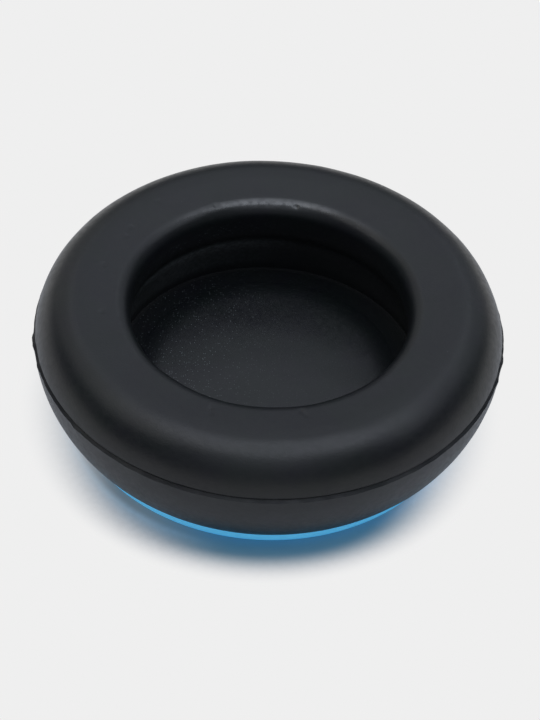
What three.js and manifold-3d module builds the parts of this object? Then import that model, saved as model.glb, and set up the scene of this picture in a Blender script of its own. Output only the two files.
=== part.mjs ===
// Controller thumb grip: a soft moulded cap that is pushed over the head of a thumb stick.
// It lies thumb side down, with the socket for the stick facing up.
// Millimetres, +Z up, origin at the centre of the face that it rests on.

import * as THREE from 'three';
import { mergeVertices } from 'three/addons/utils/BufferGeometryUtils.js';
import Module from 'manifold-3d';

const wasm = await Module();
wasm.setup();

// Outside of the body

const gripRadius = 11.0;
const overallHeight = 7.0;
const crownHeight = 2.2;
const partingStep = 0.05;
const partingGrooveHeight = 0.3;
const partingGrooveDepth = 0.14;
const shoulderWidth = 2.0;
const shoulderHeight = 2.45;
const bellyArcRadius = 6.0;
const undersideRadius = 9.38;

// Socket in the body

const topFaceSlopeDeg = 4.5;
const throatRadius = 6.5;
const lipRadius = 0.8;
const throatLand = 0.5;
const undercut = 0.7;
const undercutRadius = 1.9;
const coveRadius = 2.1;
const socketDepth = 4.55;
const wallCornerRound = 0.1;
const grooveWidth = 1.0;
const grooveDepth = 0.22;
const floorEdgeWidth = 1.25;

// Thumb pad

const padThickness = 1.0;
const padInset = 0.1;
const padEdgeRound = 0.9;
const padBossRadius = 5.4;
const padBossHeight = 0.6;
const padSeatClearance = 0.3;
const restingWidth = 1.08;
const dishDepth = 0.9;

// Nubs on the thumb face, in rings round a middle one

const nubRadius = 0.5;
const nubHeight = 0.25;
const nubRoot = 0.15;
const nubRingPitch = 1.65;
const nubRings = 3;
const nubsPerRingStep = 6;

// Facets

const turnSegments = 64;
const nubSegments = 10;
const nubArcSteps = 2;

// Points on an ellipse, from one angle to another. Angle 0 points away from the axis and 90 up.
function arc(centreR, centreZ, radiusR, radiusZ, fromDeg, toDeg, steps) {
  const points = [];
  for (let i = 0; i <= steps; i += 1) {
    const angle = THREE.MathUtils.degToRad(THREE.MathUtils.lerp(fromDeg, toDeg, i / steps));
    points.push(new THREE.Vector2(
      centreR + radiusR * Math.cos(angle),
      centreZ + radiusZ * Math.sin(angle),
    ));
  }
  return points;
}

// Points on the circle of a given radius that joins two points and bulges away from the axis.
function bulgingArc(from, to, radius, steps) {
  const chord = to.clone().sub(from);
  const middle = from.clone().add(to).multiplyScalar(0.5);
  const towardsAxis = new THREE.Vector2(-chord.y, chord.x).normalize();
  const depth = Math.sqrt(radius ** 2 - chord.lengthSq() / 4);
  const centre = middle.addScaledVector(towardsAxis, depth);
  const startDeg = THREE.MathUtils.radToDeg(Math.atan2(from.y - centre.y, from.x - centre.x));
  const endDeg = THREE.MathUtils.radToDeg(Math.atan2(to.y - centre.y, to.x - centre.x));
  return arc(centre.x, centre.y, radius, radius, startDeg, endDeg, steps);
}

function point(r, z) {
  return new THREE.Vector2(r, z);
}

// The profile is turned round the Z axis.
function turned(profile) {
  const geometry = new THREE.LatheGeometry(profile, turnSegments);
  geometry.rotateX(Math.PI / 2);
  return geometry;
}

// Underside of the body: a round seat for the boss of the pad, then a flat ring
function undersideProfile() {
  const seatRadius = padBossRadius + padSeatClearance;
  const seatTop = padThickness + padBossHeight;
  return [
    point(0, seatTop),
    point(seatRadius, seatTop),
    point(seatRadius, padThickness),
  ];
}

// Shoulder: a quarter of an ellipse that starts at the largest radius, above the parting groove
const partingHeight = overallHeight - crownHeight;
const shoulderBottom = partingHeight + partingGrooveHeight;
const shoulderCentreZ = overallHeight - shoulderHeight;
const shoulderStart = Math.asin((shoulderBottom - shoulderCentreZ) / shoulderHeight);
const shoulderCentreR = gripRadius - shoulderWidth * Math.cos(shoulderStart);

// Outer side: the belly up to the parting line, the fine groove above it and the rolled shoulder
function outsideProfile() {
  const bellyBottom = point(undersideRadius, padThickness);
  const bellyTop = point(gripRadius - partingStep, partingHeight);
  const belly = bulgingArc(bellyBottom, bellyTop, bellyArcRadius, 9);
  const groove = point(gripRadius - partingGrooveDepth, partingHeight + partingGrooveHeight / 2);
  const shoulder = arc(
    shoulderCentreR, shoulderCentreZ, shoulderWidth, shoulderHeight,
    THREE.MathUtils.radToDeg(shoulderStart), 90, 11,
  );
  return [...belly, groove, ...shoulder];
}

// Mouth and throat: the top face slopes down to a rounded lip, and below its straight land the
// wall turns outwards into an undercut pocket that holds the head of the stick.
function throatProfile() {
  const slope = THREE.MathUtils.degToRad(topFaceSlopeDeg);
  const lipCentreR = throatRadius + lipRadius;
  const mouthRadius = lipCentreR - lipRadius * Math.sin(slope);
  const mouthHeight = overallHeight - (shoulderCentreR - mouthRadius) * Math.tan(slope);
  const lipCentreZ = mouthHeight - lipRadius * Math.cos(slope);
  const lip = arc(lipCentreR, lipCentreZ, lipRadius, lipRadius, 90 + topFaceSlopeDeg, 180, 7);

  const landBottom = lipCentreZ - throatLand;
  const radii = undercutRadius + coveRadius;
  const turn = Math.acos(1 - undercut / radii);
  const turnDeg = THREE.MathUtils.radToDeg(turn);
  const flare = arc(
    throatRadius + undercutRadius, landBottom, undercutRadius, undercutRadius,
    180, 180 + turnDeg, 4,
  );
  const cove = arc(
    throatRadius + undercut - coveRadius, landBottom - radii * Math.sin(turn),
    coveRadius, coveRadius, turnDeg, 0, 4,
  );
  return [...lip, ...flare, ...cove.slice(1)];
}

// Floor: a flat groove at the foot of the wall, and a flat middle with a rounded edge
function floorProfile() {
  const wallRadius = throatRadius + undercut;
  const floorHeight = overallHeight - socketDepth;
  const grooveHeight = floorHeight - grooveDepth;
  const wallCorner = arc(
    wallRadius - wallCornerRound, grooveHeight + wallCornerRound,
    wallCornerRound, wallCornerRound, 0, -90, 2,
  );
  const edgeRadius = (floorEdgeWidth ** 2 + grooveDepth ** 2) / (2 * grooveDepth);
  const edgeTurnDeg = THREE.MathUtils.radToDeg(Math.asin(floorEdgeWidth / edgeRadius));
  const floorEdge = arc(
    wallRadius - grooveWidth - floorEdgeWidth, floorHeight - edgeRadius,
    edgeRadius, edgeRadius, 90 - edgeTurnDeg, 90, 4,
  );
  return [...wallCorner, ...floorEdge, point(0, floorHeight)];
}

function bodyGeometry() {
  return turned([
    ...undersideProfile(),
    ...outsideProfile(),
    ...throatProfile(),
    ...floorProfile(),
  ]);
}

// Height of the dished thumb face above the resting plane, at a distance from the axis
const padRadius = undersideRadius - padInset;
const dishRadius = padRadius - padEdgeRound - restingWidth;
const dishArcRadius = (dishRadius ** 2 + dishDepth ** 2) / (2 * dishDepth);

function dishHeight(r) {
  return dishDepth - dishArcRadius + Math.sqrt(dishArcRadius ** 2 - r ** 2);
}

// Pad: a dished face, the ring that it rests on, a rounded rim and the boss in the body's seat
function padProfile() {
  const dish = [];
  const dishSteps = 6;
  for (let i = 0; i <= dishSteps; i += 1) {
    const r = dishRadius * i / dishSteps;
    dish.push(point(r, dishHeight(r)));
  }
  const rim = arc(
    padRadius - padEdgeRound, padEdgeRound, padEdgeRound, padEdgeRound, -90, 0, 6,
  );
  const bossTop = padThickness + padBossHeight;
  return [
    ...dish,
    ...rim,
    point(padRadius, padThickness),
    point(padBossRadius, padThickness),
    point(padBossRadius, bossTop),
    point(0, bossTop),
  ];
}

// One nub: a low dome that points down, on a short root that sinks into the pad
function nubGeometry() {
  const dome = arc(0, 0, nubRadius, nubHeight, -90, 0, nubArcSteps);
  const geometry = new THREE.LatheGeometry(
    [...dome, point(nubRadius, nubRoot), point(0, nubRoot)],
    nubSegments,
  );
  geometry.rotateX(Math.PI / 2);
  return geometry;
}

// Closed mesh to solid: shared vertices are merged, and the slivers on the axis are dropped.
function solidFrom(geometry) {
  const bare = geometry.clone();
  bare.deleteAttribute('normal');
  bare.deleteAttribute('uv');
  const merged = mergeVertices(bare);
  const triangles = [];
  const index = merged.index.array;
  for (let i = 0; i < index.length; i += 3) {
    const [a, b, c] = [index[i], index[i + 1], index[i + 2]];
    if (a !== b && b !== c && c !== a) {
      triangles.push(a, b, c);
    }
  }
  return new wasm.Manifold(new wasm.Mesh({
    numProp: 3,
    vertProperties: new Float32Array(merged.attributes.position.array),
    triVerts: new Uint32Array(triangles),
  }));
}

function geometryFrom(solid) {
  const mesh = solid.getMesh();
  const geometry = new THREE.BufferGeometry();
  geometry.setAttribute('position', new THREE.BufferAttribute(mesh.vertProperties, 3));
  geometry.setIndex(new THREE.BufferAttribute(mesh.triVerts, 1));
  geometry.computeVertexNormals();
  return geometry;
}

// Centres of the nubs: a middle one, and rings that hold six more at each step outwards
function nubCentres() {
  const centres = [point(0, 0)];
  for (let ring = 1; ring <= nubRings; ring += 1) {
    const count = ring * nubsPerRingStep;
    for (let i = 0; i < count; i += 1) {
      const turn = 2 * Math.PI * i / count;
      const distance = ring * nubRingPitch;
      centres.push(point(distance * Math.cos(turn), distance * Math.sin(turn)));
    }
  }
  return centres;
}

function padGeometry() {
  let pad = solidFrom(turned(padProfile()));
  const nub = nubGeometry();
  for (const centre of nubCentres()) {
    const placed = nub.clone();
    placed.translate(centre.x, centre.y, dishHeight(centre.length()));
    pad = pad.add(solidFrom(placed));
  }
  return geometryFrom(pad);
}

function subpart(name, geometry, colour, roughness) {
  const material = new THREE.MeshStandardMaterial({ color: colour, roughness, metalness: 0 });
  const mesh = new THREE.Mesh(geometry, material);
  mesh.name = name;
  return mesh;
}

const group = new THREE.Group();
group.add(subpart('grip_body', bodyGeometry(), 0x2b2d30, 0.6));
group.add(subpart('thumb_pad', padGeometry(), 0x3f9ed4, 0.5));

export default group;
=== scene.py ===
"""Controller thumb grip: a black silicone cap with a blue thumb pad, lying pad down on a pale table."""

import math

import bpy
from mathutils import Matrix, Vector
from mathutils.kdtree import KDTree


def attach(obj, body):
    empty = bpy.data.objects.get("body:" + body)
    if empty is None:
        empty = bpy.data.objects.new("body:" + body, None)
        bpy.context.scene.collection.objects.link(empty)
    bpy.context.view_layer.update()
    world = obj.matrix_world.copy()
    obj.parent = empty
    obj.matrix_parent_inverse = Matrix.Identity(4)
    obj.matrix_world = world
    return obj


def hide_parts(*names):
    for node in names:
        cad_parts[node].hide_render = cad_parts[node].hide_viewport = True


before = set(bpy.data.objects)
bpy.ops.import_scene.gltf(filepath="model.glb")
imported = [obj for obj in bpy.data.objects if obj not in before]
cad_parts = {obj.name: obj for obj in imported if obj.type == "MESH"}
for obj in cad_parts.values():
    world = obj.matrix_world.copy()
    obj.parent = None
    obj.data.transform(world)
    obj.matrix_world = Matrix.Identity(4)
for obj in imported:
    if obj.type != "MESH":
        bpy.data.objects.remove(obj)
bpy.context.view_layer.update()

MM = 0.001

# Sizes of the cap, in metres. They are those of its solids, apart from the step and the finer groove at
# the parting line, the easing of the top face and the crisp corner at the foot of the wall.

GRIP_RADIUS = 11.0 * MM
OVERALL_HEIGHT = 7.0 * MM
CROWN_HEIGHT = 2.2 * MM
SHOULDER_SET_BACK = 0.08 * MM
PARTING_GROOVE_HEIGHT = 0.24 * MM
PARTING_GROOVE_DEPTH = 0.14 * MM
SHOULDER_WIDTH = 2.0 * MM
SHOULDER_HEIGHT = 2.45 * MM
BELLY_ARC_RADIUS = 6.0 * MM
UNDERSIDE_RADIUS = 9.38 * MM

TOP_FACE_SLOPE_DEG = 4.5
TOP_FACE_EASING = 0.6 * MM
THROAT_RADIUS = 6.5 * MM
LIP_RADIUS = 0.8 * MM
THROAT_LAND = 0.5 * MM
UNDERCUT = 0.7 * MM
UNDERCUT_RADIUS = 1.9 * MM
COVE_RADIUS = 2.1 * MM
SOCKET_DEPTH = 4.55 * MM
GROOVE_WIDTH = 1.0 * MM
GROOVE_DEPTH = 0.22 * MM
FLOOR_EDGE_WIDTH = 1.25 * MM

PAD_THICKNESS = 1.0 * MM
PAD_INSET = 0.1 * MM
PAD_EDGE_ROUND = 0.9 * MM
PAD_BOSS_RADIUS = 5.4 * MM
PAD_BOSS_HEIGHT = 0.6 * MM
PAD_SEAT_CLEARANCE = 0.3 * MM
RESTING_WIDTH = 1.08 * MM
DISH_DEPTH = 0.9 * MM
PAD_RADIUS = UNDERSIDE_RADIUS - PAD_INSET
DISH_RADIUS = PAD_RADIUS - PAD_EDGE_ROUND - RESTING_WIDTH

NUB_RADIUS = 0.5 * MM
NUB_HEIGHT = 0.25 * MM
NUB_RING_PITCH = 1.65 * MM
NUB_RINGS = 3
NUBS_PER_RING_STEP = 6

PARTING_HEIGHT = OVERALL_HEIGHT - CROWN_HEIGHT

# Steps round the turn and along each stretch of the sections

TURN_STEPS = 384
BELLY_STEPS = 20
SHOULDER_STEPS = 28
TOP_FACE_STEPS = 14
LIP_STEPS = 16
WALL_ARC_STEPS = 8
FLOOR_EDGE_STEPS = 10
FLOOR_STEPS = 12
DISH_STEPS = 14
PAD_RIM_STEPS = 16
NUB_SEGMENTS = 24
NUB_RING_STEPS = 12
MERGE_DISTANCE = 0.002 * MM
SMOOTH_BELOW_ANGLE = math.radians(32)

# Camera, as fitted to the outline, the parting line and the edge of the mouth

IMAGE_WIDTH = 540
IMAGE_HEIGHT = 720
SENSOR_MM = 36.0
CAMERA_ELEVATION = math.radians(44.2)
CAMERA_ROLL = math.radians(2.75)
CAMERA_DISTANCE = 17.0 * GRIP_RADIUS
PIXELS_PER_GRIP_RADIUS = 234.9
PARTING_CENTRE_PIXEL = (268.8, 332.8)
CLIP_START = 0.01

# Uneven skin: the size and depth of its waves, and where they act

WAVE_SIZE = 2.6 * MM
WAVE_DEPTH = 0.05 * MM
WAVES_ABOVE = 1.7 * MM
UNEVEN_EDGE_SIZE = 0.9 * MM
UNEVEN_EDGE_DEPTH = 0.06 * MM
RAGGED_EDGE_SIZE = 0.5 * MM
RAGGED_EDGE_DEPTH = 0.05 * MM
PARTING_EDGE_WITHIN = 0.2 * MM
PARTING_EDGE_BEYOND = 10.7 * MM

# Fins of flash on the parting edge: azimuth and spread in degrees, and how far they stand out

FLASH_FINS = (
    (187.2, 2.0, 0.075 * MM), (195.6, 0.5, 0.045 * MM), (218.6, 0.4, 0.05 * MM),
    (353.6, 0.9, 0.05 * MM), (347.2, 0.6, 0.045 * MM),
)
FIN_TOP = PARTING_HEIGHT + 0.06 * MM
FIN_LEAST_SPREAD_DEG = 0.5
FIN_REACH = 0.4 * MM

# Nicks in the lip: azimuth in degrees, radius, height and depth

LIP_NICKS = (
    (113.4, 7.05 * MM, 6.82 * MM, 0.06 * MM),
    (81.2, 6.83 * MM, 6.70 * MM, 0.06 * MM),
)
NICK_REACH = 0.17 * MM

# Creases and marks on the top face: azimuth in degrees and radius where each starts

MOUTH_CREASES = ((251.0, 7.45 * MM), (282.8, 7.1 * MM))
CREASE_STEPS = 5
CREASE_PITCH = 0.12 * MM
CREASE_TURN_DEG = 0.3
CREASE_DEPTH = 0.04 * MM
CREASE_REACH = 0.13 * MM
TOP_FACE_MARKS = (
    (146.4, 8.07 * MM), (150.8, 8.0 * MM), (189.1, 7.8 * MM), (166.6, 8.15 * MM), (130.9, 8.5 * MM),
)
MARK_DEPTH = 0.065 * MM
MARK_REACH = 0.15 * MM

# Colours

BLACK_GREENISH = (0.0048, 0.0068, 0.0070)
BLACK_BLUISH = (0.0050, 0.0056, 0.0076)
BLACK_LIGHT = (0.0072, 0.0086, 0.0090)
# Painted shade for the corner at the foot of the socket's wall
CORNER_PAINTED_SHADE = (0.0020, 0.0024, 0.0026)
# Dust and painted light on the socket's wall
DUST_AND_PAINTED_LIGHT = (0.22, 0.25, 0.26)
DUST_SPECK = (0.12, 0.138, 0.142)
BLUE_DEEP = (0.13, 0.57, 0.88)
BLUE_LIGHT = (0.14, 0.60, 0.91)
# Painted glow of the blue pad
BLUE_PAINTED_GLOW = (0.035, 0.168, 0.295)
PAPER = (0.84, 0.84, 0.84)
PAPER_SHADE = (0.78, 0.78, 0.78)
# Painted shadow, tinted blue for the pad's light, in front of the pad
PAINTED_BLUE_SHADOW = (0.27, 0.455, 0.53)
# Painted shadow on the paper where the cap rests
CONTACT_PAINTED_SHADOW = (0.62, 0.50, 0.44)
BACKGROUND_WHITE = (0.863, 0.863, 0.863)
STUDIO_LIGHT = (0.94, 1.0, 1.12)
NEUTRAL_LIGHT = (1.0, 1.0, 1.0)

# Sockets of the Mix node, which has them twice: for numbers and for colours

MIX_NUMBER_INPUTS = (2, 3)
MIX_NUMBER_OUTPUT = 0
MIX_COLOUR_INPUTS = (6, 7)
MIX_COLOUR_OUTPUT = 2

# Cloudy patterns: size of a cloud, detail, and the two levels of the noise that the pattern spans

BLOTCHES = (2.2 * MM, 3, 0.35, 0.65)
MOTTLE = (0.35 * MM, 4, 0.3, 0.7)
SHEEN = (0.25 * MM, 3, 0.3, 0.7)
LIP_WEAR = (0.3 * MM, 3, 0.3, 0.6)
DUST_AND_LIGHT_CLOUDS = (0.16 * MM, 4, 0.35, 0.7)
PAD_SHADES = (0.5 * MM, 3, 0.3, 0.7)
PAPER_FIBRES = (0.35 * MM, 4, 0.3, 0.7)

# Fine grain of the skin: size, depth and strength

BODY_GRAIN = (0.09 * MM, 0.006 * MM, 0.8)
PAD_GRAIN = (0.12 * MM, 0.004 * MM, 0.4)
GRAIN_DETAIL = 2

# Specks of dust: spacing, size and the share of them that is there

SOCKET_SPECKS = (0.11 * MM, 0.026 * MM, 0.4)
STRAY_SPECKS = (0.9 * MM, 0.04 * MM, 0.1)
SPECK_CORE = 0.5
SPECK_LOTTERY_EDGE = 0.12

# Strength of each finish, and of the painted light and shade

MOTTLE_STRENGTH = 0.5
DUST_AND_LIGHT_RIGHT_AND_LEFT = (0.1, 1.0)
DUST_AND_LIGHT_THIN_AND_THICK = (0.3, 1.0)
SPECKS_RIGHT_AND_LEFT = (0.15, 0.8)
STRAY_SPECKS_STRENGTH = 0.35
CORNER_PAINTED_SHADE_STRENGTH = 0.8
SILICONE_IOR = 1.43
BODY_SPECULAR = 0.45
BODY_ROUGHNESS = (0.34, 0.42)
GROOVE_ROUGHNESS = 0.34
CORNER_ROUGHNESS = 1.0
LIP_ROUGHNESS = 0.26
LIP_POLISH = (0.4, 1.0)
LIP_COAT = (0.05, 0.75)
LIP_COAT_ROUGHNESS = 0.22
LIP_COAT_IOR = 1.6
PAD_ROUGHNESS = 0.45
PAPER_ROUGHNESS = 0.9
PAPER_SPECULAR = 0.2

# Places on the body where each finish, and the painted light and shade, start and are full: a radius, a
# height, or x or y across it

SOCKET_WITHIN_RADIUS = (7.25 * MM, 7.0 * MM)
SOCKET_BELOW_HEIGHT = (6.2 * MM, 5.6 * MM)
SOCKET_ABOVE_HEIGHT = (2.0 * MM, 2.15 * MM)
FLOOR_BELOW_HEIGHT = (2.7 * MM, 2.5 * MM)
GROOVE_BEYOND_RADIUS = (4.0 * MM, 6.6 * MM)
CORNER_BEYOND_RADIUS = (7.0 * MM, 7.1 * MM)
WALL_BEYOND_RADIUS = (6.6 * MM, 7.0 * MM)
DUST_AND_LIGHT_BELOW_HEIGHT = (5.2 * MM, 3.6 * MM)
DUST_AND_LIGHT_ABOVE_HEIGHT = (2.35 * MM, 2.9 * MM)
DUST_AND_LIGHT_TO_LEFT = (2.0 * MM, -5.0 * MM)
SPECKS_TO_LEFT = (1.5 * MM, -4.5 * MM)
LIP_BEYOND_RADIUS = (6.6 * MM, 6.85 * MM)
LIP_WITHIN_RADIUS = (7.2 * MM, 6.88 * MM)
LIP_ABOVE_HEIGHT = (5.9 * MM, 6.3 * MM)
LIP_TO_REAR = (2.0 * MM, 6.0 * MM)
COAT_TO_REAR = (6.2 * MM, 6.88 * MM)

# The table, the cap's shadow on it, a painted shadow where the cap rests and a painted blue-tinted shadow
# for the light that the pad throws on it

TABLE_SIZE = 4.0
TABLE_DROP = 0.01 * MM
SHADOW_CENTRE = (-0.25 * MM, 0.0)
SHADOW_SIDE_TO_FRONT = (-1.5 * MM, -9.8 * MM)
SHADOW_INNER_RADIUS_AT_SIDES = 7.4 * MM
SHADOW_INNER_RADIUS_AT_FRONT = 9.65 * MM
SHADOW_OUTER_RADIUS = 11.6 * MM
CONTACT_WITHIN_RADIUS = (9.35 * MM, 8.95 * MM)
REFLECTED_WHITE_BEYOND_RADIUS = (11.0 * MM, 34.0 * MM)
PAINTED_SPILL_CENTRE = (2.0 * MM, -9.0 * MM)
PAINTED_SPILL_WITHIN_RADIUS = (8.2 * MM, 3.0 * MM)
PAINTED_SPILL_WITHIN_SHADOW_RADIUS = (11.0 * MM, 9.5 * MM)

# Lamps: tilt from upright, azimuth and width in degrees, share of the table's white, and colour

ROOM_SHARE = 0.11
SOFTBOXES = (
    ("overhead_softbox", 3, 0, 52, 0.36, STUDIO_LIGHT),
    ("left_wing_softbox", 34, 180, 46, 0.13, NEUTRAL_LIGHT),
    ("right_wing_softbox", 34, 0, 46, 0.12, STUDIO_LIGHT),
    ("rear_softbox", 38, 90, 50, 0.09, STUDIO_LIGHT),
    ("rear_left_softbox", 60, 128, 44, 0.035, NEUTRAL_LIGHT),
    ("rear_right_softbox", 60, 55, 44, 0.035, STUDIO_LIGHT),
    ("front_softbox", 34, 272, 44, 0.045, STUDIO_LIGHT),
    ("front_fill", 60, 270, 60, 0.03, STUDIO_LIGHT),
)


def arc(centre_r, centre_z, radius_r, radius_z, from_deg, to_deg, steps):
    """Points (radius, height) on an ellipse. Angle 0 points away from the axis and 90 up."""
    points = []
    for i in range(steps + 1):
        angle = math.radians(from_deg + (to_deg - from_deg) * i / steps)
        points.append((centre_r + radius_r * math.cos(angle), centre_z + radius_z * math.sin(angle)))
    return points


def bulging_arc(start, end, radius, steps):
    """Points on the circle that joins two points and bulges away from the axis."""
    chord_r, chord_z = end[0] - start[0], end[1] - start[1]
    length = math.hypot(chord_r, chord_z)
    depth = math.sqrt(radius**2 - length**2 / 4)
    centre_r = (start[0] + end[0]) / 2 - chord_z / length * depth
    centre_z = (start[1] + end[1]) / 2 + chord_r / length * depth
    from_deg = math.degrees(math.atan2(start[1] - centre_z, start[0] - centre_r))
    to_deg = math.degrees(math.atan2(end[1] - centre_z, end[0] - centre_r))
    return arc(centre_r, centre_z, radius, radius, from_deg, to_deg, steps)


def straight(start, end, steps):
    """Points along a straight line, without its first."""
    return [
        (start[0] + (end[0] - start[0]) * i / steps, start[1] + (end[1] - start[1]) * i / steps)
        for i in range(1, steps + 1)
    ]


def turned(name, profile, steps):
    """One vertex is extruded along the profile of (radius, height), and the line is spun."""
    bpy.ops.object.select_all(action="DESELECT")
    bpy.ops.mesh.primitive_plane_add(size=MM, location=(0, 0, 0))
    piece = bpy.context.object
    piece.name = name
    piece.data.name = name
    bpy.ops.object.mode_set(mode="EDIT")
    bpy.ops.mesh.select_all(action="SELECT")
    bpy.ops.mesh.merge(type="CENTER")
    bpy.ops.transform.translate(value=(profile[0][0], 0, profile[0][1]))
    for before, after in zip(profile, profile[1:]):
        step = (after[0] - before[0], 0, after[1] - before[1])
        bpy.ops.mesh.extrude_region_move(TRANSFORM_OT_translate={"value": step})
    bpy.ops.mesh.select_all(action="SELECT")
    bpy.ops.mesh.spin(steps=steps, angle=math.tau, center=(0, 0, 0), axis=(0, 0, 1))
    bpy.ops.mesh.select_all(action="SELECT")
    bpy.ops.mesh.remove_doubles(threshold=MERGE_DISTANCE)
    bpy.ops.mesh.normals_make_consistent(inside=False)
    bpy.ops.object.mode_set(mode="OBJECT")
    bpy.ops.object.shade_smooth_by_angle(angle=SMOOTH_BELOW_ANGLE)
    return piece


def underside_profile():
    """From the middle of the seat for the pad's boss to the foot of the belly."""
    seat_top = PAD_THICKNESS + PAD_BOSS_HEIGHT
    seat_radius = PAD_BOSS_RADIUS + PAD_SEAT_CLEARANCE
    return [(0, seat_top), (seat_radius, seat_top), (seat_radius, PAD_THICKNESS)]


def shoulder_start():
    """Angle on the shoulder's ellipse at which it leaves the parting groove."""
    bottom = PARTING_HEIGHT + PARTING_GROOVE_HEIGHT
    return math.asin((bottom - OVERALL_HEIGHT + SHOULDER_HEIGHT) / SHOULDER_HEIGHT)


def shoulder_centre_radius():
    """Distance from the axis to the middle of the shoulder's ellipse."""
    return GRIP_RADIUS - SHOULDER_SET_BACK - SHOULDER_WIDTH * math.cos(shoulder_start())


def outside_profile():
    """The belly, the fine groove above the parting line and the rolled shoulder."""
    belly = bulging_arc(
        (UNDERSIDE_RADIUS, PAD_THICKNESS),
        (GRIP_RADIUS, PARTING_HEIGHT),
        BELLY_ARC_RADIUS,
        BELLY_STEPS,
    )
    groove = (GRIP_RADIUS - PARTING_GROOVE_DEPTH, PARTING_HEIGHT + PARTING_GROOVE_HEIGHT / 2)
    shoulder = arc(
        shoulder_centre_radius(), OVERALL_HEIGHT - SHOULDER_HEIGHT,
        SHOULDER_WIDTH, SHOULDER_HEIGHT, math.degrees(shoulder_start()), 90, SHOULDER_STEPS,
    )
    return [*belly, groove, *shoulder]


def top_face_profile(start, end):
    """The face that slopes down to the lip, eased in where it leaves the shoulder."""
    eased = TOP_FACE_EASING / (start[0] - end[0])
    steepness = (start[1] - end[1]) / (1 - eased / 2)
    points = []
    for i in range(1, TOP_FACE_STEPS + 1):
        way = i / TOP_FACE_STEPS
        fall = way**2 / (2 * eased) if way < eased else way - eased / 2
        points.append((start[0] + (end[0] - start[0]) * way, start[1] - steepness * fall))
    return points


def throat_profile():
    """The rounded lip, its land and the undercut wall below it."""
    slope = math.radians(TOP_FACE_SLOPE_DEG)
    lip_centre_r = THROAT_RADIUS + LIP_RADIUS
    mouth_radius = lip_centre_r - LIP_RADIUS * math.sin(slope)
    mouth_height = OVERALL_HEIGHT - (shoulder_centre_radius() - mouth_radius) * math.tan(slope)
    lip_centre_z = mouth_height - LIP_RADIUS * math.cos(slope)
    lip = arc(
        lip_centre_r, lip_centre_z, LIP_RADIUS, LIP_RADIUS,
        90 + TOP_FACE_SLOPE_DEG, 180, LIP_STEPS,
    )
    land_bottom = lip_centre_z - THROAT_LAND
    radii = UNDERCUT_RADIUS + COVE_RADIUS
    turn = math.acos(1 - UNDERCUT / radii)
    flare = arc(
        THROAT_RADIUS + UNDERCUT_RADIUS, land_bottom, UNDERCUT_RADIUS, UNDERCUT_RADIUS,
        180, 180 + math.degrees(turn), WALL_ARC_STEPS,
    )
    cove = arc(
        THROAT_RADIUS + UNDERCUT - COVE_RADIUS, land_bottom - radii * math.sin(turn),
        COVE_RADIUS, COVE_RADIUS, math.degrees(turn), 0, WALL_ARC_STEPS,
    )
    return [*lip, *flare, *cove[1:]]


def floor_profile():
    """The flat groove at the foot of the wall and the flat middle with its rounded edge."""
    wall_radius = THROAT_RADIUS + UNDERCUT
    floor_height = OVERALL_HEIGHT - SOCKET_DEPTH
    wall_corner = (wall_radius, floor_height - GROOVE_DEPTH)
    edge_radius = (FLOOR_EDGE_WIDTH**2 + GROOVE_DEPTH**2) / (2 * GROOVE_DEPTH)
    edge_turn_deg = math.degrees(math.asin(FLOOR_EDGE_WIDTH / edge_radius))
    floor_edge = arc(
        wall_radius - GROOVE_WIDTH - FLOOR_EDGE_WIDTH, floor_height - edge_radius,
        edge_radius, edge_radius, 90 - edge_turn_deg, 90, FLOOR_EDGE_STEPS,
    )
    middle = straight(floor_edge[-1], (0, floor_height), FLOOR_STEPS)
    return [wall_corner, *floor_edge, *middle]


def body_profile():
    """The body's section, from the middle of its underside round to the middle of the floor."""
    outside = outside_profile()
    throat = throat_profile()
    top_face = top_face_profile(outside[-1], throat[0])
    return [*underside_profile(), *outside, *top_face, *throat[1:], *floor_profile()]


def dish_height(r):
    """Height of the dished thumb face above the table, at a distance from the axis."""
    arc_radius = (DISH_RADIUS**2 + DISH_DEPTH**2) / (2 * DISH_DEPTH)
    return DISH_DEPTH - arc_radius + math.sqrt(arc_radius**2 - r**2)


def pad_profile():
    """The pad's section, from the middle of the thumb face round to the middle of the boss."""
    dish = [
        (DISH_RADIUS * i / DISH_STEPS, dish_height(DISH_RADIUS * i / DISH_STEPS))
        for i in range(DISH_STEPS + 1)
    ]
    rim = arc(
        PAD_RADIUS - PAD_EDGE_ROUND, PAD_EDGE_ROUND, PAD_EDGE_ROUND, PAD_EDGE_ROUND,
        -90, 0, PAD_RIM_STEPS,
    )
    boss_top = PAD_THICKNESS + PAD_BOSS_HEIGHT
    return [
        *dish, *rim, (PAD_RADIUS, PAD_THICKNESS), (PAD_BOSS_RADIUS, PAD_THICKNESS),
        (PAD_BOSS_RADIUS, boss_top), (0, boss_top),
    ]


def on_cap(radius, azimuth_deg, height):
    """A point on the cap. Azimuth 0 is to the right in the photograph and 90 to the rear."""
    azimuth = math.radians(azimuth_deg)
    return Vector((radius * math.cos(azimuth), radius * math.sin(azimuth), height))


def select_vertices(piece, chosen):
    """Selects only the chosen vertices, given by index, and leaves the piece in edit mode."""
    bpy.ops.object.mode_set(mode="EDIT")
    bpy.ops.mesh.select_mode(type="VERT")
    bpy.ops.mesh.select_all(action="DESELECT")
    bpy.ops.object.mode_set(mode="OBJECT")
    for index in chosen:
        piece.data.vertices[index].select = True
    bpy.ops.object.mode_set(mode="EDIT")


def push_down(piece, spot, depth, reach):
    """Pushes the skin down at one spot, with the skin round it following."""
    tree = KDTree(len(piece.data.vertices))
    for vertex in piece.data.vertices:
        tree.insert(vertex.co, vertex.index)
    tree.balance()
    select_vertices(piece, [tree.find(spot)[1]])
    bpy.ops.transform.translate(
        value=(0, 0, -depth), use_proportional_edit=True, proportional_edit_falloff="SMOOTH",
        proportional_size=reach,
    )
    bpy.ops.object.mode_set(mode="OBJECT")


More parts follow.
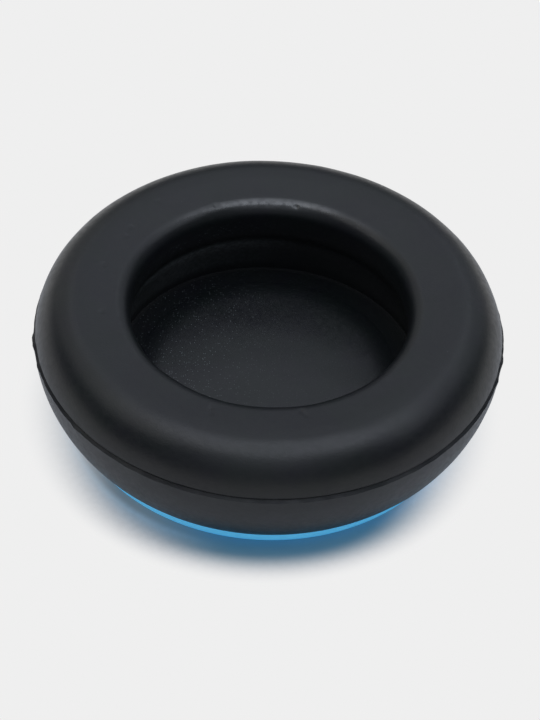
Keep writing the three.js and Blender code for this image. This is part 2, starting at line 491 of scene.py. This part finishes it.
def roughen(piece, group_name, chosen, grain, depth, direction):
    """Moves the vertices that the test chooses by a cloudy pattern of this grain and depth."""
    select_vertices(piece, [vertex.index for vertex in piece.data.vertices if chosen(vertex)])
    bpy.ops.object.vertex_group_add()
    piece.vertex_groups.active.name = group_name
    bpy.ops.object.vertex_group_assign()
    bpy.ops.object.mode_set(mode="OBJECT")
    pattern = bpy.data.textures.new(group_name, type="CLOUDS")
    pattern.noise_scale = grain
    pattern.noise_depth = 1
    bpy.ops.object.modifier_add(type="DISPLACE")
    modifier = piece.modifiers[-1]
    modifier.texture = pattern
    modifier.vertex_group = group_name
    modifier.direction = direction
    modifier.strength = depth
    modifier.mid_level = 0.5
    bpy.ops.object.modifier_apply(modifier=modifier.name)


def azimuth_of(vertex):
    """Azimuth of a vertex in degrees, from 0 to 360."""
    return math.degrees(math.atan2(vertex.co.y, vertex.co.x)) % 360


def on_parting_edge(vertex):
    """True on the rings of vertices at the parting line and in its groove."""
    near = abs(vertex.co.z - PARTING_HEIGHT) < PARTING_EDGE_WITHIN
    return near and vertex.co.xy.length > PARTING_EDGE_BEYOND


def add_parting_flash(body):
    """A parting edge that is never quite even, with short fins of flash at the left and right."""
    roughen(
        body, "uneven parting edge", on_parting_edge, UNEVEN_EDGE_SIZE, UNEVEN_EDGE_DEPTH, "Z",
    )
    roughen(
        body, "ragged parting edge", on_parting_edge, RAGGED_EDGE_SIZE, RAGGED_EDGE_DEPTH, "NORMAL",
    )
    for middle_deg, spread_deg, depth in FLASH_FINS:
        fin = [
            vertex.index for vertex in body.data.vertices
            if on_parting_edge(vertex) and vertex.co.z < FIN_TOP
            and abs(azimuth_of(vertex) - middle_deg) < max(spread_deg, FIN_LEAST_SPREAD_DEG)
        ]
        select_vertices(body, fin)
        bpy.ops.transform.translate(
            value=on_cap(depth, middle_deg, 0), use_proportional_edit=True,
            proportional_edit_falloff="SMOOTH", proportional_size=FIN_REACH,
        )
        bpy.ops.object.mode_set(mode="OBJECT")


def add_skin_waves(body):
    """The soft skin is never quite true: very shallow waves, but none where it meets the pad."""
    roughen(
        body, "skin waves", lambda vertex: vertex.co.z > WAVES_ABOVE, WAVE_SIZE, WAVE_DEPTH, "NORMAL",
    )


def add_dents(body):
    """Nicks in the rear of the lip, creases at the front of the mouth and marks on the top face."""
    for azimuth_deg, radius, height, depth in LIP_NICKS:
        push_down(body, on_cap(radius, azimuth_deg, height), depth, NICK_REACH)
    for azimuth_deg, radius in MOUTH_CREASES:
        for step in range(CREASE_STEPS):
            spot = on_cap(
                radius + step * CREASE_PITCH, azimuth_deg + step * CREASE_TURN_DEG, OVERALL_HEIGHT,
            )
            push_down(body, spot, CREASE_DEPTH, CREASE_REACH)
    for azimuth_deg, radius in TOP_FACE_MARKS:
        push_down(body, on_cap(radius, azimuth_deg, OVERALL_HEIGHT), MARK_DEPTH, MARK_REACH)


def make_body():
    """The black moulding: turned, then given the small faults of a soft moulded part."""
    body = turned("grip_body_moulding", body_profile(), TURN_STEPS)
    add_skin_waves(body)
    add_parting_flash(body)
    add_dents(body)
    bpy.ops.object.shade_smooth_by_angle(angle=SMOOTH_BELOW_ANGLE)
    return body


def nub_centres():
    """A middle nub, and rings that hold six more at each step outwards."""
    centres = [(0, 0)]
    for ring in range(1, NUB_RINGS + 1):
        count = ring * NUBS_PER_RING_STEP
        for i in range(count):
            turn = math.tau * i / count
            distance = ring * NUB_RING_PITCH
            centres.append((distance * math.cos(turn), distance * math.sin(turn)))
    return centres


def make_pad():
    """The blue moulding: a turned pad, and one nub that is copied over its dished face."""
    pad = turned("thumb_pad_moulding", pad_profile(), TURN_STEPS // 2)
    bpy.ops.object.select_all(action="DESELECT")
    bpy.ops.mesh.primitive_uv_sphere_add(
        segments=NUB_SEGMENTS, ring_count=NUB_RING_STEPS, radius=NUB_RADIUS,
        location=(0, 0, dish_height(0)),
    )
    nub = bpy.context.object
    bpy.ops.transform.resize(value=(1, 1, NUB_HEIGHT / NUB_RADIUS))
    bpy.ops.object.shade_smooth()
    nubs = [nub]
    for x, y in nub_centres()[1:]:
        bpy.ops.object.select_all(action="DESELECT")
        nub.select_set(True)
        bpy.context.view_layer.objects.active = nub
        rise = dish_height(math.hypot(x, y)) - dish_height(0)
        bpy.ops.object.duplicate_move(TRANSFORM_OT_translate={"value": (x, y, rise)})
        nubs.append(bpy.context.object)
    for copy in nubs:
        copy.select_set(True)
    pad.select_set(True)
    bpy.context.view_layer.objects.active = pad
    bpy.ops.object.join()
    bpy.ops.object.transform_apply(location=True, rotation=True, scale=True)
    return pad


def node(tree, kind, **settings):
    """A new node of a material, with its settings."""
    made = tree.nodes.new(kind)
    for name, value in settings.items():
        setattr(made, name, value)
    return made


def object_position(tree):
    """Place on the piece, in its own coordinates."""
    return node(tree, "ShaderNodeTexCoord").outputs["Object"]


def clouds(tree, position, size, detail):
    """Soft noise with features of this size in metres."""
    noise = node(tree, "ShaderNodeTexNoise")
    noise.inputs["Scale"].default_value = 1 / size
    noise.inputs["Detail"].default_value = detail
    tree.links.new(position, noise.inputs["Vector"])
    return noise.outputs["Fac"]


def ramp(tree, value, start, end, at_start=0, at_end=1):
    """The value from start to end, mapped smoothly to another range and held at its ends."""
    mapped = node(tree, "ShaderNodeMapRange", interpolation_type="SMOOTHSTEP")
    tree.links.new(value, mapped.inputs["Value"])
    mapped.inputs["From Min"].default_value = start
    mapped.inputs["From Max"].default_value = end
    mapped.inputs["To Min"].default_value = at_start
    mapped.inputs["To Max"].default_value = at_end
    return mapped.outputs["Result"]


def cloudy(tree, position, pattern, at_low=0, at_high=1):
    """A cloudy pattern between two values."""
    size, detail, low, high = pattern
    return ramp(tree, clouds(tree, position, size, detail), low, high, at_low, at_high)


def times(tree, first, *others):
    """The product of one output and others, each of them an output or a number."""
    result = first
    for other in others:
        product = node(tree, "ShaderNodeMath", operation="MULTIPLY")
        tree.links.new(result, product.inputs[0])
        if isinstance(other, (int, float)):
            product.inputs[1].default_value = other
        else:
            tree.links.new(other, product.inputs[1])
        result = product.outputs["Value"]
    return result


def greater(tree, first, second):
    """The greater of two outputs."""
    larger = node(tree, "ShaderNodeMath", operation="MAXIMUM")
    tree.links.new(first, larger.inputs[0])
    tree.links.new(second, larger.inputs[1])
    return larger.outputs["Value"]


def blend(tree, share, first, second):
    """A colour between two, each of them a colour or another node's output."""
    mix = node(tree, "ShaderNodeMix", data_type="RGBA")
    tree.links.new(share, mix.inputs["Factor"])
    for socket, colour in zip(MIX_COLOUR_INPUTS, (first, second)):
        if isinstance(colour, tuple):
            mix.inputs[socket].default_value = (*colour, 1)
        else:
            tree.links.new(colour, mix.inputs[socket])
    return mix.outputs[MIX_COLOUR_OUTPUT]


def mixed(tree, share, first, second):
    """A value between a node's output and a number."""
    mix = node(tree, "ShaderNodeMix", data_type="FLOAT")
    tree.links.new(share, mix.inputs["Factor"])
    tree.links.new(first, mix.inputs[MIX_NUMBER_INPUTS[0]])
    mix.inputs[MIX_NUMBER_INPUTS[1]].default_value = second
    return mix.outputs[MIX_NUMBER_OUTPUT]


def coordinate(tree, position, axis):
    """One of the three coordinates of a place."""
    parts = node(tree, "ShaderNodeSeparateXYZ")
    tree.links.new(position, parts.inputs["Vector"])
    return parts.outputs[axis]


def distance_from_axis(tree, position, middle=(0, 0)):
    """Distance from an upright axis through the middle."""
    shifted = node(tree, "ShaderNodeVectorMath", operation="SUBTRACT")
    tree.links.new(position, shifted.inputs[0])
    shifted.inputs[1].default_value = (*middle, 0)
    flat = node(tree, "ShaderNodeVectorMath", operation="MULTIPLY")
    tree.links.new(shifted.outputs["Vector"], flat.inputs[0])
    flat.inputs[1].default_value = (1, 1, 0)
    length = node(tree, "ShaderNodeVectorMath", operation="LENGTH")
    tree.links.new(flat.outputs["Vector"], length.inputs[0])
    return length.outputs["Value"]


def specks(tree, position, spacing, size, share):
    """Round dots: one in each cell of this spacing, of which only this share is kept."""
    cells = node(tree, "ShaderNodeTexVoronoi")
    cells.inputs["Scale"].default_value = 1 / spacing
    tree.links.new(position, cells.inputs["Vector"])
    edge = size / spacing
    dots = ramp(tree, cells.outputs["Distance"], edge, SPECK_CORE * edge)
    lottery = coordinate(tree, cells.outputs["Color"], "X")
    kept = ramp(tree, lottery, share + SPECK_LOTTERY_EDGE, share)
    return times(tree, dots, kept)


def new_material(name):
    """A named material, its node tree and its shader."""
    material = bpy.data.materials.new(name)
    material.use_nodes = True
    tree = material.node_tree
    return material, tree, tree.nodes["Principled BSDF"]


def fine_grain(tree, position, size, depth, strength):
    """The normal of a finely grained skin."""
    bump = node(tree, "ShaderNodeBump")
    bump.inputs["Distance"].default_value = depth
    bump.inputs["Strength"].default_value = strength
    tree.links.new(clouds(tree, position, size, GRAIN_DETAIL), bump.inputs["Height"])
    return bump.outputs["Normal"]


def in_socket(tree, position):
    """1 inside the socket below the lip, and 0 on the rest of the body."""
    height = coordinate(tree, position, "Z")
    within = ramp(tree, distance_from_axis(tree, position), *SOCKET_WITHIN_RADIUS)
    below_lip = ramp(tree, height, *SOCKET_BELOW_HEIGHT)
    above_seat = ramp(tree, height, *SOCKET_ABOVE_HEIGHT)
    return times(tree, within, below_lip, above_seat)


def wall_dust_and_painted_light(tree, position):
    """Up to 1 where the socket's wall holds a film of dust and painted light, thicker to the left and
    lower down the wall.
    """
    height = coordinate(tree, position, "Z")
    across = coordinate(tree, position, "X")
    to_left = ramp(tree, across, *DUST_AND_LIGHT_TO_LEFT, *DUST_AND_LIGHT_RIGHT_AND_LEFT)
    on_wall = ramp(tree, distance_from_axis(tree, position), *WALL_BEYOND_RADIUS)
    below_lip = ramp(tree, height, *DUST_AND_LIGHT_BELOW_HEIGHT)
    above_corner = ramp(tree, height, *DUST_AND_LIGHT_ABOVE_HEIGHT)
    patches = cloudy(tree, position, DUST_AND_LIGHT_CLOUDS, *DUST_AND_LIGHT_THIN_AND_THICK)
    return times(
        tree, below_lip, above_corner, on_wall, to_left, in_socket(tree, position), patches,
    )


def socket_specks(tree, position):
    """Up to 1 on the specks of dust that lie in the socket, most of them to the left."""
    across = coordinate(tree, position, "X")
    to_left = ramp(tree, across, *SPECKS_TO_LEFT, *SPECKS_RIGHT_AND_LEFT)
    dots = specks(tree, position, *SOCKET_SPECKS)
    return times(tree, dots, in_socket(tree, position), to_left)


def polished_lip(tree, position):
    """Up to 1 on the rear of the rounded lip, which is rubbed smooth, and 0 elsewhere."""
    radius = distance_from_axis(tree, position)
    beyond = ramp(tree, radius, *LIP_BEYOND_RADIUS)
    within = ramp(tree, radius, *LIP_WITHIN_RADIUS)
    high = ramp(tree, coordinate(tree, position, "Z"), *LIP_ABOVE_HEIGHT)
    to_rear = ramp(tree, coordinate(tree, position, "Y"), *LIP_TO_REAR)
    worn = cloudy(tree, position, LIP_WEAR, *LIP_POLISH)
    return times(tree, beyond, within, high, to_rear, worn)


def at_foot_of_wall(tree, position, start, end):
    """0 on the socket's floor inside the first radius, rising to 1 at the second."""
    outward = ramp(tree, distance_from_axis(tree, position), start, end)
    low = ramp(tree, coordinate(tree, position, "Z"), *FLOOR_BELOW_HEIGHT)
    return times(tree, outward, low, in_socket(tree, position))


def body_colour(tree, position, corner):
    """Black with faint blue and green blotches, dust in the socket, painted light on its wall and painted
    shade in its corner.
    """
    blotches = cloudy(tree, position, BLOTCHES)
    colour = blend(tree, blotches, BLACK_GREENISH, BLACK_BLUISH)
    mottle = cloudy(tree, position, MOTTLE, 0, MOTTLE_STRENGTH)
    colour = blend(tree, mottle, colour, BLACK_LIGHT)
    # Dust and painted light lighten the socket's wall, most on the left.
    colour = blend(tree, wall_dust_and_painted_light(tree, position), colour, DUST_AND_PAINTED_LIGHT)
    colour = blend(tree, socket_specks(tree, position), colour, DUST_SPECK)
    stray = times(tree, specks(tree, position, *STRAY_SPECKS), STRAY_SPECKS_STRENGTH)
    colour = blend(tree, stray, colour, DUST_SPECK)
    # Painted shade darkens the corner at the foot of the socket's wall.
    return blend(tree, times(tree, corner, CORNER_PAINTED_SHADE_STRENGTH), colour, CORNER_PAINTED_SHADE)


def body_roughness(tree, position, polish, corner):
    """Matt skin, smoother on the lip and in the groove, and dull in the socket's corner."""
    groove = at_foot_of_wall(tree, position, *GROOVE_BEYOND_RADIUS)
    roughness = cloudy(tree, position, SHEEN, *BODY_ROUGHNESS)
    roughness = mixed(tree, polish, roughness, LIP_ROUGHNESS)
    roughness = mixed(tree, groove, roughness, GROOVE_ROUGHNESS)
    return mixed(tree, corner, roughness, CORNER_ROUGHNESS)


def black_silicone():
    """Matt black silicone with a fine grain, and a sheen on the worn rear of the lip."""
    material, tree, shader = new_material("black_silicone")
    position = object_position(tree)
    corner = at_foot_of_wall(tree, position, *CORNER_BEYOND_RADIUS)
    polish = polished_lip(tree, position)
    roughness = body_roughness(tree, position, polish, corner)
    coat = times(tree, polish, ramp(tree, coordinate(tree, position, "Y"), *COAT_TO_REAR, *LIP_COAT))
    tree.links.new(body_colour(tree, position, corner), shader.inputs["Base Color"])
    tree.links.new(roughness, shader.inputs["Roughness"])
    tree.links.new(fine_grain(tree, position, *BODY_GRAIN), shader.inputs["Normal"])
    tree.links.new(coat, shader.inputs["Coat Weight"])
    shader.inputs["Coat Roughness"].default_value = LIP_COAT_ROUGHNESS
    shader.inputs["Coat IOR"].default_value = LIP_COAT_IOR
    shader.inputs["IOR"].default_value = SILICONE_IOR
    shader.inputs["Specular IOR Level"].default_value = BODY_SPECULAR
    return material


def blue_silicone():
    """Satin blue silicone with a very fine grain, and a painted glow: a faint blue emission that also
    tints the table near it.
    """
    material, tree, shader = new_material("blue_silicone")
    position = object_position(tree)
    shades = cloudy(tree, position, PAD_SHADES)
    tree.links.new(blend(tree, shades, BLUE_DEEP, BLUE_LIGHT), shader.inputs["Base Color"])
    tree.links.new(fine_grain(tree, position, *PAD_GRAIN), shader.inputs["Normal"])
    shader.inputs["Roughness"].default_value = PAD_ROUGHNESS
    shader.inputs["IOR"].default_value = SILICONE_IOR
    # A painted glow: the pad emits a faint blue light of its own.
    shader.inputs["Emission Color"].default_value = (*BLUE_PAINTED_GLOW, 1)
    shader.inputs["Emission Strength"].default_value = 1.0
    return material


def clear_of_shadow(tree, position, distance):
    """0 in the cap's shadow and 1 beyond it. The shadow fades sooner at the sides."""
    inner_radius = ramp(
        tree, coordinate(tree, position, "Y"), *SHADOW_SIDE_TO_FRONT,
        SHADOW_INNER_RADIUS_AT_SIDES, SHADOW_INNER_RADIUS_AT_FRONT,
    )
    clear = ramp(tree, distance, SHADOW_INNER_RADIUS_AT_FRONT, SHADOW_OUTER_RADIUS)
    tree.links.new(inner_radius, clear.node.inputs["From Min"])
    return clear


def painted_blue_shadow(tree, position, distance):
    """Up to 1 where a painted shadow, tinted blue for the pad's light, lies on the paper at the front."""
    near = ramp(tree, distance, *PAINTED_SPILL_WITHIN_SHADOW_RADIUS)
    at_front = ramp(tree, distance_from_axis(tree, position, PAINTED_SPILL_CENTRE), *PAINTED_SPILL_WITHIN_RADIUS)
    return times(tree, near, at_front)


def pale_table():
    """White paper. Beyond the cap's shadow it shows as plain white of the photograph's level."""
    material, tree, shader = new_material("pale_table")
    position = object_position(tree)
    colour = blend(tree, cloudy(tree, position, PAPER_FIBRES), PAPER_SHADE, PAPER)
    distance = distance_from_axis(tree, position, SHADOW_CENTRE)
    # A painted shadow darkens the paper close to where the cap rests.
    contact = ramp(tree, distance, *CONTACT_WITHIN_RADIUS)
    colour = blend(tree, contact, colour, CONTACT_PAINTED_SHADOW)
    # A painted shadow, tinted blue for the pad's light, darkens the paper at the front.
    colour = blend(tree, painted_blue_shadow(tree, position, distance), colour, PAINTED_BLUE_SHADOW)
    tree.links.new(colour, shader.inputs["Base Color"])
    shader.inputs["Roughness"].default_value = PAPER_ROUGHNESS
    shader.inputs["Specular IOR Level"].default_value = PAPER_SPECULAR
    rays = node(tree, "ShaderNodeLightPath")
    clear = clear_of_shadow(tree, position, distance)
    clear_in_reflections = ramp(tree, distance, *REFLECTED_WHITE_BEYOND_RADIUS)
    seen = greater(
        tree, times(tree, clear, rays.outputs["Is Camera Ray"]),
        times(tree, clear, rays.outputs["Is Transmission Ray"]),
    )
    seen = greater(tree, seen, times(tree, clear_in_reflections, rays.outputs["Is Glossy Ray"]))
    glow = node(tree, "ShaderNodeEmission")
    glow.inputs["Color"].default_value = (*BACKGROUND_WHITE, 1)
    mix = node(tree, "ShaderNodeMixShader")
    tree.links.new(seen, mix.inputs["Fac"])
    tree.links.new(shader.outputs["BSDF"], mix.inputs[1])
    tree.links.new(glow.outputs["Emission"], mix.inputs[2])
    tree.links.new(mix.outputs["Shader"], tree.nodes["Material Output"].inputs["Surface"])
    return material


def add_softbox(name, tilt_deg, azimuth_deg, width_deg, share, colour):
    """A broad far lamp that lights the table to this share of white."""
    towards_lamp = Vector((
        math.sin(math.radians(tilt_deg)) * math.cos(math.radians(azimuth_deg)),
        math.sin(math.radians(tilt_deg)) * math.sin(math.radians(azimuth_deg)),
        math.cos(math.radians(tilt_deg)),
    ))
    bpy.ops.object.light_add(type="SUN", location=towards_lamp)
    lamp = bpy.context.object
    lamp.name = name
    lamp.rotation_euler = (-towards_lamp).to_track_quat("-Z", "Y").to_euler()
    lamp.data.angle = math.radians(width_deg)
    lamp.data.energy = share * math.pi / math.cos(math.radians(tilt_deg))
    lamp.data.color = colour


def light_room():
    """Even light from all of the room."""
    world = bpy.data.worlds.new("studio_room")
    bpy.context.scene.world = world
    world.use_nodes = True
    background = world.node_tree.nodes["Background"]
    background.inputs["Color"].default_value = (*STUDIO_LIGHT, 1)
    background.inputs["Strength"].default_value = ROOM_SHARE


def add_camera():
    """The camera looks at the middle of the parting plane from the photograph's side."""
    target = Vector((0, 0, PARTING_HEIGHT))
    towards_camera = Vector((0, -math.cos(CAMERA_ELEVATION), math.sin(CAMERA_ELEVATION)))
    bpy.ops.object.camera_add(location=target + towards_camera * CAMERA_DISTANCE)
    camera = bpy.context.object
    camera.name = "photo_camera"
    straight_on = (-towards_camera).to_track_quat("-Z", "Y").to_matrix()
    rolled = straight_on @ Matrix.Rotation(CAMERA_ROLL, 3, "Z")
    metres_per_pixel = GRIP_RADIUS / PIXELS_PER_GRIP_RADIUS
    right = rolled.col[0] * (IMAGE_WIDTH / 2 - PARTING_CENTRE_PIXEL[0]) * metres_per_pixel
    down = -rolled.col[1] * (IMAGE_HEIGHT / 2 - PARTING_CENTRE_PIXEL[1]) * metres_per_pixel
    aim = (target + right + down - camera.location).normalized()
    turn = (-towards_camera).rotation_difference(aim).to_matrix()
    camera.rotation_euler = (turn @ rolled).to_euler()
    camera.data.sensor_width = SENSOR_MM
    camera.data.lens = SENSOR_MM * PIXELS_PER_GRIP_RADIUS * CAMERA_DISTANCE / GRIP_RADIUS / IMAGE_HEIGHT
    camera.data.clip_start = CLIP_START
    bpy.context.scene.camera = camera


add_camera()

grip_body = make_body()
grip_body.data.materials.append(black_silicone())
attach(grip_body, "root")
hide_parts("grip_body")

thumb_pad = make_pad()
thumb_pad.data.materials.append(blue_silicone())
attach(thumb_pad, "root")
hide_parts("thumb_pad")

bpy.ops.mesh.primitive_plane_add(size=TABLE_SIZE, location=(0, 0, -TABLE_DROP))
table = bpy.context.object
table.name = "table"
table.data.materials.append(pale_table())

for softbox in SOFTBOXES:
    add_softbox(*softbox)
light_room()

bpy.context.scene.view_settings.view_transform = "Standard"
